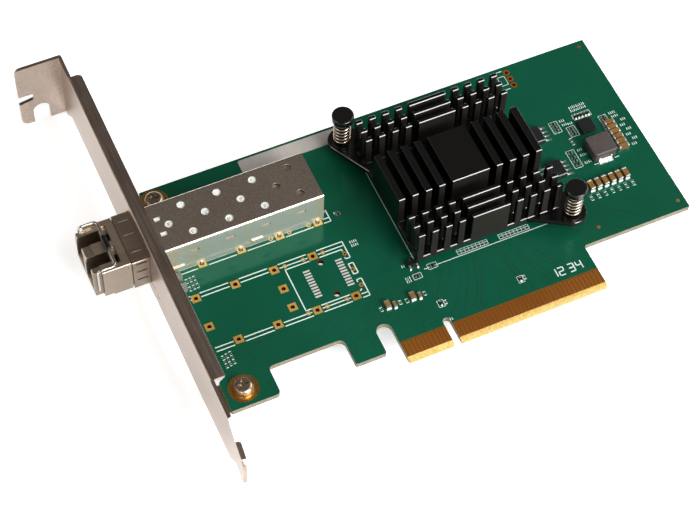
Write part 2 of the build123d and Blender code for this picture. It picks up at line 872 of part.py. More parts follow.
def optical_barrel(side):
    """A fibre receptacle barrel in its port, with the round can behind it."""
    y = port_centre + side * port_half_pitch
    wall = head_front + port_depth + port_wall
    barrel = rod_x(wall - barrel_length, wall, y, optic_height, barrel_radius)
    can = rod_x(wall, wall + can_length, y, optic_height, can_radius)
    bore = rod_x(wall - barrel_length - overshoot, wall - 1.0, y, optic_height, barrel_bore)
    return barrel + can - bore


def transceiver_board():
    """The board inside the tray, whose tongue plugs into the connector."""
    wide = module_width / 2 - module_wall
    narrow = edge_board_tongue / 2
    start = head_front + port_depth + port_wall + can_length + edge_board_gap
    tongue_end = connector_front + slot_depth - slot_clearance
    high = edge_board_low + edge_board_thickness
    wide_end = module_step - overshoot
    plate = block(start, wide_end, port_centre - wide, port_centre + wide, edge_board_low, high)
    return plate + block(wide_end, tongue_end, port_centre - narrow, port_centre + narrow, edge_board_low, high)


def bail():
    """The wire bail: two short pivots, two bent legs and the bar across the top."""
    low = port_centre - bail_half
    high = port_centre + bail_half
    path = FilletPolyline(
        (bail_pivot_x, port_centre - bail_end_half, bail_pivot_z),
        (bail_pivot_x, low, bail_pivot_z),
        (bail_pivot_x, low, bail_bar_z),
        (bail_bar_x, low, bail_bar_z),
        (bail_bar_x, high, bail_bar_z),
        (bail_pivot_x, high, bail_bar_z),
        (bail_pivot_x, high, bail_pivot_z),
        (bail_pivot_x, port_centre + bail_end_half, bail_pivot_z),
        radius=bail_bend)
    start = Plane(origin=path @ 0, z_dir=path % 0)
    return sweep(start * Circle(wire_radius), path=path)


def bail_sleeve():
    """The dark plastic sleeve on the bar of the bail."""
    y = port_centre + sleeve_offset
    outer = rod_y(bail_bar_x, y - sleeve_length / 2, y + sleeve_length / 2, bail_bar_z, sleeve_radius)
    outer = fillet(outer.edges().filter_by(GeomType.CIRCLE), 0.2)
    return outer - rod_y(bail_bar_x, y - sleeve_length, y + sleeve_length, bail_bar_z, wire_radius + 0.02)


def latch_arm():
    """The rocking arm under the head; its post holds the transceiver in the cage."""
    half = arm_width / 2
    arm = block(arm_front, arm_rear, port_centre - half, port_centre + half, arm_low, arm_low + arm_thickness)
    post_x = arm_rear - arm_post / 2
    reach = arm_post / 2
    post = block(post_x - reach, post_x + reach, port_centre - arm_post, port_centre + arm_post,
                 arm_post_low, arm_low + arm_thickness / 2)
    pin = rod_y(arm_pivot_x, port_centre - arm_pivot_half, port_centre + arm_pivot_half,
                arm_low + arm_thickness / 2, arm_pivot_radius)
    return arm + post + pin


def fin_columns():
    """Start and end of each fin column along X: short fins, one long fin, short fins."""
    spans = []
    x = chip_x - sink_length / 2
    lengths = [short_fin] * short_fin_count + [long_fin] + [short_fin] * short_fin_count
    for length in lengths:
        spans.append((x, x + length))
        x += length + fin_gap
    return spans


def fin_rows():
    """Start and end of each fin row along Y: thin rows, the deep middle row, thin rows."""
    low = chip_y - sink_width / 2
    high = chip_y + sink_width / 2
    spans = []
    for i in range(fin_rows_each_side):
        offset = fin_row_pitch * i
        spans.append((low + offset, low + offset + fin_thickness))
        spans.append((high - offset - fin_thickness, high - offset))
    spans.append((chip_y - block_length / 2, chip_y + block_length / 2))
    return spans


def heatsink():
    """The cross-cut heatsink with its base and the two ears for the push pins."""
    half_x = sink_length / 2
    half_y = sink_width / 2
    sink = block(chip_x - half_x, chip_x + half_x, chip_y - half_y, chip_y + half_y, sink_low, sink_base_top)
    for x, y in pin_places:
        corner_x = chip_x + (half_x if x > chip_x else -half_x)
        corner_y = chip_y + (half_y if y > chip_y else -half_y)
        along = corner_x - (ear_root if x > chip_x else -ear_root)
        up = corner_y - (ear_root if y > chip_y else -ear_root)
        edges = (Pos(x, y) * Circle(ear_radius)).edges()
        edges += Polyline((along, corner_y), (corner_x, up), (along, up), (along, corner_y)).edges()
        sink += Pos(0, 0, sink_low) * extrude(make_hull(edges), amount=sink_base)
    fins = Sketch() + [Pos((x0 + x1) / 2, (y0 + y1) / 2) * Rectangle(x1 - x0, y1 - y0)
                       for x0, x1 in fin_columns() for y0, y1 in fin_rows()]
    fins -= [Pos(x, y) * Circle(fin_clearance) for x, y in pin_places]
    sink += Pos(0, 0, sink_base_top) * extrude(fins, amount=fin_height)
    return sink - [rod(x, y, sink_low - overshoot, sink_base_top + overshoot, pin_hole_radius)
                   for x, y in pin_places]


def push_pin(x, y):
    """A plastic push pin: round head, shaft and a split barb below the board."""
    head = rod(x, y, pin_neck_top, pin_top, pin_head_radius)
    head = fillet(head.edges().filter_by(GeomType.CIRCLE), pin_head_round)
    barb_top = board_low - barb_gap
    shaft = rod(x, y, barb_top, pin_neck_top, pin_shaft_radius)
    barb = Pos(x, y, barb_top - barb_length / 2) * Cone(barb_tip_radius, barb_radius, barb_length)
    slot = block(x - barb_slot / 2, x + barb_slot / 2, y - 2 * barb_radius, y + 2 * barb_radius,
                 barb_top - barb_length - overshoot, 0.0)
    return head + shaft + barb - slot


def pin_spring(x, y):
    """The coil spring between the heatsink's ear and the pin's head."""
    low = sink_base_top + spring_wire
    height = pin_neck_top - sink_base_top - 2 * spring_wire
    path = Helix(pitch=height / spring_turns, height=height, radius=spring_radius)
    start = Plane(origin=path @ 0, z_dir=path % 0)
    coil = sweep(start * Circle(spring_wire), path=path, is_frenet=True)
    return Pos(x, y, low) * coil


def small_outline_body(x, y):
    """The moulded body of an eight-lead chip."""
    body = block(x - so_body_width / 2, x + so_body_width / 2, y - so_body_length / 2,
                 y + so_body_length / 2, 0.15, so_body_height)
    return chamfer(body.faces().sort_by(Axis.Z)[-1].edges(), 0.25)


def small_outline_leads(x, y):
    """Four gull-wing leads on each side of an eight-lead chip."""
    leads = []
    half = so_lead_width / 2
    inner = so_body_width / 2
    outer = so_lead_span / 2
    for side in (-1, 1):
        for i in range(4):
            lead_y = y + so_lead_pitch * (i - 1.5)
            foot = sorted((x + side * (inner + 0.1), x + side * outer))
            rise = sorted((x + side * inner, x + side * (inner + 0.3)))
            leads.append(block(*foot, lead_y - half, lead_y + half, 0, so_lead_thickness)
                         + block(*rise, lead_y - half, lead_y + half, 0, 0.9))
    return leads


def chip_part(x, y, size, along_x):
    """A two-ended chip part: its body and its two end caps."""
    length, width, height, cap = size
    bodies = block(-length / 2 + cap, length / 2 - cap, -width / 2, width / 2, 0, height)
    left = block(-length / 2, -length / 2 + cap, -width / 2, width / 2, 0, height)
    right = block(length / 2 - cap, length / 2, -width / 2, width / 2, 0, height)
    place = Pos(x, y, 0) * Rot(0, 0, 0 if along_x else 90)
    return place * bodies, [place * left, place * right]


def save_chips(name, *groups):
    """Writes groups of chip parts, each with its size, as two nodes: bodies and end caps."""
    bodies = []
    caps = []
    for places, size in groups:
        for x, y, along_x in places:
            body, ends = chip_part(x, y, size, along_x)
            bodies.append(body)
            caps += ends
    save(f"{name}_bodies", *bodies)
    save(f"{name}_caps", *caps)


def inductor_core():
    """The pressed powder block of the power inductor."""
    half = inductor_side / 2 - terminal_sheet
    core = block(inductor_x - inductor_side / 2, inductor_x + inductor_side / 2, inductor_y - half,
                 inductor_y + half, inductor_lift, inductor_height)
    core = fillet(core.edges().filter_by(Axis.Z), inductor_corner)
    return chamfer(core.faces().sort_by(Axis.Z)[-1].edges(), 0.2)


def inductor_terminals():
    """The two folded terminals at the ends of the inductor."""
    terminals = []
    outer = inductor_side / 2
    for side in (-1, 1):
        face = sorted((inductor_y + side * (outer - terminal_sheet), inductor_y + side * outer))
        foot = sorted((inductor_y + side * (outer - terminal_run), inductor_y + side * (outer + terminal_foot)))
        x0 = inductor_x - terminal_width / 2
        x1 = inductor_x + terminal_width / 2
        terminal = block(x0, x1, *face, 0, terminal_rise) + block(x0, x1, *foot, 0, inductor_lift)
        terminal += block(x0, x0 + terminal_ear_width, *face, 0, terminal_ear_rise)
        terminal += block(x1 - terminal_ear_width, x1, *face, 0, terminal_ear_rise)
        terminals.append(terminal)
    return terminals


def transistor_leads():
    """Three leads of the small transistor: two on one side, one on the other."""
    leads = []
    for dx, side in ((-0.95, -1), (0.95, -1), (0.0, 1)):
        span = sorted((transistor_y + side * 0.65, transistor_y + side * 1.25))
        leads.append(block(transistor_x + dx - 0.2, transistor_x + dx + 0.2, *span, 0, 0.5))
    return leads


def status_light(y):
    """A right-angle light behind a window of the bracket."""
    front = board_left - led_overhang
    body = block(front, front + led_depth, y - led_width / 2, y + led_width / 2, 0, led_height)
    nose = rod_x(bracket_face + light_recess, front, y, window_height, window_diameter / 2 - window_clearance)
    return body + nose


save("circuit_board", circuit_board())
save("contacts_front", *edge_contacts(0, pad_thickness))
save("contacts_back", *edge_contacts(board_low - pad_thickness, board_low))

spare_lower, spare_upper, spare_inner, spare_small = port_holes(spare_centre)
used_lower, used_upper, _, used_small = port_holes(port_centre)
save("spare_port_pads", *[square_pad(x, y) for x, y in spare_lower + spare_upper + spare_inner],
     *[ring_pad(x, y, via_pad, via_hole) for x, y in spare_small])
save("used_port_pads", *[square_pad(x, y) for x, y in used_lower + used_upper],
     *[ring_pad(x, y, via_pad, via_hole) for x, y in used_small])
save("spare_port_lands", *connector_lands(spare_centre))
save("screw_pads", *[ring_pad(x, y, screw_pad, screw_hole) for x, y in screw_places])
save("header_pads", *[ring_pad(x, y, header_pad, header_hole) for x, y in header_places()])

save("mounting_bracket", mounting_bracket())
save("bracket_screws", *[bracket_screw(x, y) for x, y in screw_places])
save("status_lights", *[status_light(y) for y in window_places])

save("cage_shell", cage_shell())
save("cage_floor", cage_floor())
save("cage_collar", cage_collar())
save("host_connector", host_connector())
save("host_connector_leads", *connector_leads())

save("transceiver_housing", transceiver_housing())
save("transceiver_cover", transceiver_cover())
save("transmit_optic", optical_barrel(-1))
save("receive_optic", optical_barrel(1))
save("transceiver_board", transceiver_board())
save("bail", bail())
save("bail_sleeve", bail_sleeve())
save("latch_arm", latch_arm())

half_substrate = substrate_side / 2
half_lid = lid_side / 2
save("controller_substrate", block(chip_x - half_substrate, chip_x + half_substrate, chip_y - half_substrate,
                                   chip_y + half_substrate, 0, substrate_height))
save("controller_lid", block(chip_x - half_lid, chip_x + half_lid, chip_y - half_lid, chip_y + half_lid,
                             substrate_height, substrate_height + lid_height))
save("thermal_pad", block(chip_x - half_lid, chip_x + half_lid, chip_y - half_lid, chip_y + half_lid,
                          substrate_height + lid_height, sink_low))
save("heatsink", heatsink())
save("push_pin_near", push_pin(*near_pin))
save("push_pin_far", push_pin(*far_pin))
save("pin_spring_near", pin_spring(*near_pin))
save("pin_spring_far", pin_spring(*far_pin))

for place, name in zip(so_places, ("memory_chip", "config_chip")):
    save(f"{name}_body", small_outline_body(*place))
    save(f"{name}_leads", *small_outline_leads(*place))
half_regulator = regulator_side / 2
save("regulator_chip", block(regulator_x - half_regulator, regulator_x + half_regulator,
                             regulator_y - half_regulator, regulator_y + half_regulator, 0, regulator_height))
save("inductor_core", inductor_core())
save("inductor_terminals", *inductor_terminals())

save_chips("column_capacitor", ([(column_x, column_start_y + column_pitch * i, True)
                                 for i in range(column_count)], large_capacitor))
save_chips("row_capacitor", ([(row_start_x + row_pitch * i, row_y, False)
                              for i in range(row_count)], large_capacitor))
save_chips("coupling_capacitor", ([(x, y, False) for x, y in coupling_places], medium_capacitor),
           ([(x, y, False) for x, y in coupling_narrow_places], narrow_capacitor))
save_chips("resistor", (resistor_places, small_resistor))
save("transistor_body", block(transistor_x - 1.45, transistor_x + 1.45, transistor_y - 0.65,
                              transistor_y + 0.65, 0.1, 1.1))
save("transistor_leads", *transistor_leads())
label = block(label_left, label_right, label_low, label_high, 0, label_thickness)
save("blank_label", fillet(label.edges().filter_by(Axis.Z), label_round))
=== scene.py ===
import bpy
import json
import math
from mathutils import Matrix, Vector


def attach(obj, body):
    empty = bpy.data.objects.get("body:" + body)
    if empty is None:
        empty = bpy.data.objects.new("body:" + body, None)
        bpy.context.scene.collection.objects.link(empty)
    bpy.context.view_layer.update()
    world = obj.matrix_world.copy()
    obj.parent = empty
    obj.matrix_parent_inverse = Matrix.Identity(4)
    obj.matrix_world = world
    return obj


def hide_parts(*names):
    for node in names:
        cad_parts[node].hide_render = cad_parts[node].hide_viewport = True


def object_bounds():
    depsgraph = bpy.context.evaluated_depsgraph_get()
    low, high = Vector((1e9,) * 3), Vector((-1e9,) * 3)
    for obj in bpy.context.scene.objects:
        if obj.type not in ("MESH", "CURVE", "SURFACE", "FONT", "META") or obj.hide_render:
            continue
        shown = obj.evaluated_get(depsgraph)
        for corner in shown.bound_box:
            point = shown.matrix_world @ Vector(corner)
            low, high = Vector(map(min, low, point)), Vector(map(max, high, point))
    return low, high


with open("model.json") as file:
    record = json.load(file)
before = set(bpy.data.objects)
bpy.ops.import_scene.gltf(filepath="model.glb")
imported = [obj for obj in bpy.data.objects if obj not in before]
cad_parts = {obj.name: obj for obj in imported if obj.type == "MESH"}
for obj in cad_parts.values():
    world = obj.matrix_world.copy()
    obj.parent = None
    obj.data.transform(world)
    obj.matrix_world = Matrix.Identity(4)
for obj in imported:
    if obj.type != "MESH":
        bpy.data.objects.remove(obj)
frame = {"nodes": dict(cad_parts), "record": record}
cad_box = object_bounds()
mm = 0.001
nodes = frame["nodes"]

# Middle lines of the ports and the large chip, and steps of the two runs of capacitors, in millimetres
port_y = 51.1
spare_y = 28.35
chip_x = 18.8
row_step = 1.93
column_step = 1.57


# Shader nodes

def fill(tree, made, inputs):
    """Fills a node's inputs with values or with other sockets."""
    for socket, value in inputs.items():
        if isinstance(value, bpy.types.NodeSocket):
            tree.links.new(value, made.inputs[socket])
        else:
            made.inputs[socket].default_value = value


def put(tree, kind, inputs, **settings):
    """Adds a node, sets its properties and fills its inputs."""
    made = tree.nodes.new(kind)
    for key, value in settings.items():
        setattr(made, key, value)
    fill(tree, made, inputs)
    return made


def math_node(tree, operation, a, b=0.0):
    return put(tree, "ShaderNodeMath", {0: a, 1: b}, operation=operation).outputs[0]


def times(tree, a, b):
    return math_node(tree, "MULTIPLY", a, b)


def plus(tree, a, b):
    return math_node(tree, "ADD", a, b)


def minus(tree, a, b):
    return math_node(tree, "SUBTRACT", a, b)


def over(tree, a, b):
    return math_node(tree, "GREATER_THAN", a, b)


def under(tree, a, b):
    return math_node(tree, "LESS_THAN", a, b)


def unsigned(tree, a):
    return math_node(tree, "ABSOLUTE", a)


def mix_colour(tree, factor, a, b):
    mixed = put(tree, "ShaderNodeMix", {"Factor": factor, 6: a, 7: b}, data_type="RGBA")
    return mixed.outputs[2]


def stretch(tree, value, low, high, start=0.0, end=1.0):
    """Maps the range from low to high onto the range from start to end, and holds it there."""
    ramp = put(tree, "ShaderNodeMapRange", {"Value": value, "From Min": low, "From Max": high,
                                            "To Min": start, "To Max": end})
    return ramp.outputs["Result"]


def noise(tree, place, scale, detail=2.0):
    made = put(tree, "ShaderNodeTexNoise", {"Vector": place, "Scale": scale, "Detail": detail})
    return made.outputs["Fac"]


def axes_of(tree, vector):
    return put(tree, "ShaderNodeSeparateXYZ", {"Vector": vector}).outputs


def facing_of(tree):
    """The direction that the surface faces, as X, Y and Z."""
    return axes_of(tree, tree.nodes.new("ShaderNodeNewGeometry").outputs["Normal"])


def bump_of(tree, height, depth):
    return put(tree, "ShaderNodeBump", {"Height": height, "Distance": depth}).outputs["Normal"]


# Shader groups

def group_of(name, inputs, outputs):
    """An empty shader group with named sockets: (name, type, default) in, names of values out."""
    tree = bpy.data.node_groups.new(name, "ShaderNodeTree")
    for label, kind, value in inputs:
        socket = tree.interface.new_socket(label, in_out="INPUT", socket_type=kind)
        if value is not None:
            socket.default_value = value
    for label in outputs:
        tree.interface.new_socket(label, in_out="OUTPUT", socket_type="NodeSocketFloat")
    return tree, tree.nodes.new("NodeGroupInput").outputs, tree.nodes.new("NodeGroupOutput")


def grain_group():
    """Fine speckle with a slow cloud under it, as rolled, cast and moulded surfaces have."""
    tree, given, end = group_of("surface grain", [
        ("Vector", "NodeSocketVector", None),
        ("Fine Scale", "NodeSocketFloat", 2500.0),
        ("Cloud Scale", "NodeSocketFloat", 60.0),
    ], ["Fine", "Cloud"])
    fill(tree, end, {"Fine": noise(tree, given["Vector"], given["Fine Scale"], 3.0),
                     "Cloud": noise(tree, given["Vector"], given["Cloud Scale"], 4.0)})
    return tree


def streak_group():
    """Long fine streaks, as brushing and rolling leave, and a few wandering scratches."""
    tree, given, end = group_of("brushed streaks", [
        ("Vector", "NodeSocketVector", None),
        ("Along", "NodeSocketVector", (1.0, 1.0, 1.0)),
        ("Scale", "NodeSocketFloat", 1500.0),
    ], ["Streaks", "Scratches"])
    here = given["Vector"]
    pulled = put(tree, "ShaderNodeVectorMath", {0: here, 1: given["Along"]}, operation="MULTIPLY")
    brushed = put(tree, "ShaderNodeTexNoise", {"Vector": pulled.outputs[0], "Scale": given["Scale"],
                                               "Detail": 4.0, "Roughness": 0.6})
    cells = put(tree, "ShaderNodeTexVoronoi", {"Vector": here, "Scale": 130.0}, feature="DISTANCE_TO_EDGE")
    thin = stretch(tree, cells.outputs["Distance"], 0.0, 0.012, 1.0, 0.0)
    some = stretch(tree, noise(tree, here, 90.0), 0.55, 0.7)
    fill(tree, end, {"Streaks": brushed.outputs["Fac"], "Scratches": times(tree, thin, some)})
    return tree


def tracks_group():
    """Copper under the mask: faint lines that run up from the contacts and gather at the large chip."""
    tree, given, end = group_of("buried tracks", [("Vector", "NodeSocketVector", None)],
                                ["Tracks", "Planes"])
    here = given["Vector"]
    place = axes_of(tree, here)
    lines_per_metre = 640.0
    gather = stretch(tree, place["Y"], 8.0 * mm, 22.0 * mm, 1.0, 1.9)
    across = times(tree, minus(tree, place["X"], chip_x * mm), gather)
    across = plus(tree, across, times(tree, noise(tree, here, 90.0, 1.0), 3.5 * mm))
    step = math_node(tree, "FRACT", times(tree, across, lines_per_metre))
    line = stretch(tree, unsigned(tree, minus(tree, step, 0.5)), 0.04, 0.12, 1.0, 0.0)
    column = put(tree, "ShaderNodeCombineXYZ", {"X": across}).outputs[0]
    line = times(tree, line, stretch(tree, noise(tree, column, 330.0, 0.0), 0.45, 0.6))
    past_contacts = stretch(tree, place["Y"], 5.5 * mm, 7.5 * mm)
    before_chip = stretch(tree, place["Y"], 22.0 * mm, 20.0 * mm)
    patches = put(tree, "ShaderNodeTexVoronoi", {"Vector": here, "Scale": 60.0, "Randomness": 0.9},
                  distance="CHEBYCHEV")
    pick = put(tree, "ShaderNodeSeparateColor", {"Color": patches.outputs["Color"]}).outputs
    fill(tree, end, {"Tracks": times(tree, line, times(tree, past_contacts, before_chip)),
                     "Planes": pick["Green"]})
    return tree


grain = grain_group()
streaks = streak_group()
tracks = tracks_group()


# Materials

def new_finish(name):
    """A material with its tree, its shader and the object's own coordinates."""
    finish = bpy.data.materials.new(name)
    finish.use_nodes = True
    tree = finish.node_tree
    here = tree.nodes.new("ShaderNodeTexCoord").outputs["Object"]
    return finish, tree, tree.nodes["Principled BSDF"], here


def add_group(tree, group, inputs):
    return put(tree, "ShaderNodeGroup", inputs, node_tree=group).outputs


def add_grain(tree, here, fine_scale, cloud_scale):
    return add_group(tree, grain, {"Vector": here, "Fine Scale": fine_scale, "Cloud Scale": cloud_scale})


def metal_finish(name, dark, light, rough, along=(1.0, 1.0, 1.0), depth=0.01 * mm, scale=1500.0, side_light_kept=1.0):
    """Plated or rolled metal: streaks along one way, cloudy tone, fine scratches, and painted shade that
    darkens upright faces.
    """
    scratch_colour = (0.9, 0.88, 0.85, 1)
    scratch_share = 0.12
    finish, tree, shader, here = new_finish(name)
    cloud = add_grain(tree, here, 3000.0, 70.0)
    lines = add_group(tree, streaks, {"Vector": here, "Along": along, "Scale": scale})
    tone = plus(tree, times(tree, lines["Streaks"], 0.6), times(tree, cloud["Cloud"], 0.4))
    colour = mix_colour(tree, stretch(tree, tone, 0.3, 0.7), dark, light)
    # Painted shade: upright faces are mixed towards black, and the last argument sets how much of their
    # colour they keep
    upright = stretch(tree, unsigned(tree, facing_of(tree)["Z"]), 0.3, 0.7, 1.0 - side_light_kept, 0.0)
    colour = mix_colour(tree, upright, colour, (0, 0, 0, 1))
    height = plus(tree, lines["Streaks"], times(tree, cloud["Fine"], 0.5))
    fill(tree, shader, {
        "Base Color": mix_colour(tree, times(tree, lines["Scratches"], scratch_share), colour,
                                 scratch_colour),
        "Roughness": stretch(tree, tone, 0.3, 0.7, rough - 0.06, rough + 0.08),
        "Metallic": 1.0,
        "Normal": bump_of(tree, height, depth)})
    return finish


def plastic_finish(name, dark, light, rough, depth=0.008 * mm, fine_scale=2500.0, cloud_scale=80.0,
                   coat=0.0):
    """Moulded or pressed material: fine grain and a slow change of tone."""
    finish, tree, shader, here = new_finish(name)
    cloud = add_grain(tree, here, fine_scale, cloud_scale)
    tone = plus(tree, times(tree, cloud["Fine"], 0.5), times(tree, cloud["Cloud"], 0.5))
    fill(tree, shader, {
        "Base Color": mix_colour(tree, stretch(tree, tone, 0.35, 0.65), dark, light),
        "Roughness": stretch(tree, tone, 0.3, 0.7, rough - 0.05, rough + 0.06),
        "Coat Weight": coat,
        "Coat Roughness": 0.15,
        "Normal": bump_of(tree, cloud["Fine"], depth)})
    return finish


def pad_finish(name, dark, light, metallic):
    """Plating that is rough enough to show its own colour."""
    finish, tree, shader, here = new_finish(name)
    cloud = add_grain(tree, here, 1500.0, 25.0)
    fill(tree, shader, {
        "Base Color": mix_colour(tree, stretch(tree, cloud["Cloud"], 0.35, 0.65), dark, light),
        "Metallic": metallic,
        "Roughness": stretch(tree, cloud["Fine"], 0.3, 0.7, 0.3, 0.4),
        "Normal": bump_of(tree, cloud["Fine"], 0.008 * mm)})
    return finish


def board_finish():
    """Glossy green mask, cream cut edges, hole walls in a copper colour darkened as painted shade, brown
    laminate by the contacts, gold bevel.
    """
    contacts_top = 5.6 * mm
    bevel_top = 1.32 * mm
    tongue_left = -12.7 * mm
    holes_left, holes_right = -53.0 * mm, 68.2 * mm
    holes_low, holes_high = 14.0 * mm, 68.2 * mm

    finish, tree, shader, here = new_finish("green board")
    cloud = add_grain(tree, here, 1800.0, 40.0)
    copper = add_group(tree, tracks, {"Vector": here})
    place = axes_of(tree, here)

    mask = mix_colour(tree, stretch(tree, cloud["Cloud"], 0.3, 0.7), (0.004, 0.088, 0.046, 1),
                      (0.006, 0.108, 0.060, 1))
    mask = mix_colour(tree, times(tree, over(tree, copper["Planes"], 0.6), 0.18), mask,
                      (0.005, 0.078, 0.036, 1))
    mask = mix_colour(tree, times(tree, copper["Tracks"], 0.75), mask, (0.022, 0.040, 0.016, 1))

    edge = under(tree, unsigned(tree, facing_of(tree)["Z"]), 0.6)
    tongue = over(tree, place["X"], tongue_left)
    bare = times(tree, under(tree, place["Y"], contacts_top), tongue)
    bevel = times(tree, under(tree, place["Y"], bevel_top), tongue)
    inside = times(tree, over(tree, place["Y"], holes_low), under(tree, place["Y"], holes_high))
    inside = times(tree, inside, over(tree, place["X"], holes_left))
    inside = times(tree, inside, under(tree, place["X"], holes_right))

    weave = stretch(tree, cloud["Fine"], 0.35, 0.65)
    laminate = mix_colour(tree, weave, (0.20, 0.17, 0.12, 1), (0.32, 0.28, 0.21, 1))
    # Hole walls: copper plating colour, darkened much further as painted shade; their gloss is also taken
    # away below
    cut = mix_colour(tree, inside, laminate, (0.13, 0.022, 0.004, 1))
    gold = mix_colour(tree, weave, (0.58, 0.37, 0.10, 1), (0.80, 0.56, 0.20, 1))
    colour = mix_colour(tree, bare, mask, (0.16, 0.062, 0.010, 1))
    colour = mix_colour(tree, edge, colour, cut)

    covered = times(tree, minus(tree, 1.0, edge), minus(tree, 1.0, bare))
    shine = stretch(tree, cloud["Fine"], 0.3, 0.7, 0.12, 0.18)
    height = plus(tree, times(tree, cloud["Fine"], 0.2), copper["Tracks"])
    fill(tree, shader, {
        "Base Color": mix_colour(tree, bevel, colour, gold),
        "Metallic": times(tree, covered, 0.22),
        "Specular IOR Level": stretch(tree, times(tree, edge, inside), 0.0, 1.0, 0.28, 0.0),
        "Roughness": plus(tree, shine, times(tree, edge, 0.4)),
        "Normal": bump_of(tree, height, 0.006 * mm)})
    return finish


def light_finish():
    """Clear moulding: the noses in the bracket's windows are painted near white and glow, a painted highlight
    with no lamp behind it; the rest stays dull.
    """
    finish, tree, shader, here = new_finish("clear moulding")
    cloud = add_grain(tree, here, 1500.0, 300.0)
    # Painted glow: faces turned out through the bracket's windows are near white and emit light, though
    # nothing lights them from inside
    glowing_nose = under(tree, facing_of(tree)["X"], -0.5)
    body = mix_colour(tree, cloud["Cloud"], (0.05, 0.06, 0.05, 1), (0.30, 0.32, 0.28, 1))
    fill(tree, shader, {
        "Base Color": mix_colour(tree, glowing_nose, body, (0.85, 0.86, 0.82, 1)),
        "Emission Color": (1.0, 1.0, 0.96, 1),
        "Emission Strength": times(tree, glowing_nose, 0.6),
        "Roughness": stretch(tree, cloud["Fine"], 0.3, 0.7, 0.15, 0.25)})
    return finish


def anodised_finish():
    """Glossy black anodising with fine upright saw streaks, and a painted grey sheen on the faces turned to
    the front.
    """
    finish, tree, shader, here = new_finish("black anodising")
    cloud = add_grain(tree, here, 2600.0, 60.0)
    lines = add_group(tree, streaks, {"Vector": here, "Along": (1.0, 1.0, 0.05), "Scale": 1200.0})
    # Painted sheen: faces turned to the front get grey in place of black, with rougher and weaker gloss
    front = stretch(tree, facing_of(tree)["Y"], -0.8, -0.97)
    black = mix_colour(tree, lines["Streaks"], (0.0010, 0.0010, 0.0011, 1), (0.0022, 0.0021, 0.0022, 1))
    grey = mix_colour(tree, lines["Streaks"], (0.010, 0.008, 0.007, 1), (0.028, 0.023, 0.020, 1))
    gloss = stretch(tree, cloud["Cloud"], 0.3, 0.7, 0.15, 0.21)
    fill(tree, shader, {
        "Base Color": mix_colour(tree, front, black, grey),
        "Roughness": plus(tree, gloss, times(tree, front, 0.25)),
        "Specular IOR Level": stretch(tree, front, 0.0, 1.0, 0.7, 0.15)})
    return finish


def cage_finish():
    """Tinned sheet: the top is smooth and dark; upright faces are painted paler, greenish to tan in faint
    upright bands, as painted light with a painted reflection of the green board.
    """
    finish, tree, shader, here = new_finish("rolled cage metal")
    cloud = add_grain(tree, here, 3000.0, 70.0)
    painted_reflection_bands = add_group(tree, streaks, {"Vector": here, "Along": (1.0, 0.2, 0.15), "Scale": 260.0})
    # Painted light and reflection: upright faces take a paler greenish-to-tan colour and less metal than the
    # top, though the sheet is the same tin all round
    upright = under(tree, unsigned(tree, facing_of(tree)["Z"]), 0.5)
    top = mix_colour(tree, stretch(tree, cloud["Fine"], 0.35, 0.65), (0.74, 0.66, 0.58, 1),
                     (0.97, 0.89, 0.80, 1))
    side = mix_colour(tree, stretch(tree, painted_reflection_bands["Streaks"], 0.54, 0.68), (0.45, 0.48, 0.43, 1),
                      (0.52, 0.45, 0.32, 1))
    fill(tree, shader, {
        "Base Color": mix_colour(tree, upright, top, side),
        "Metallic": stretch(tree, upright, 0.0, 1.0, 1.0, 0.45),
        "Roughness": stretch(tree, cloud["Cloud"], 0.3, 0.7, 0.17, 0.27),
        "Normal": bump_of(tree, cloud["Fine"], 0.002 * mm)})
    return finish


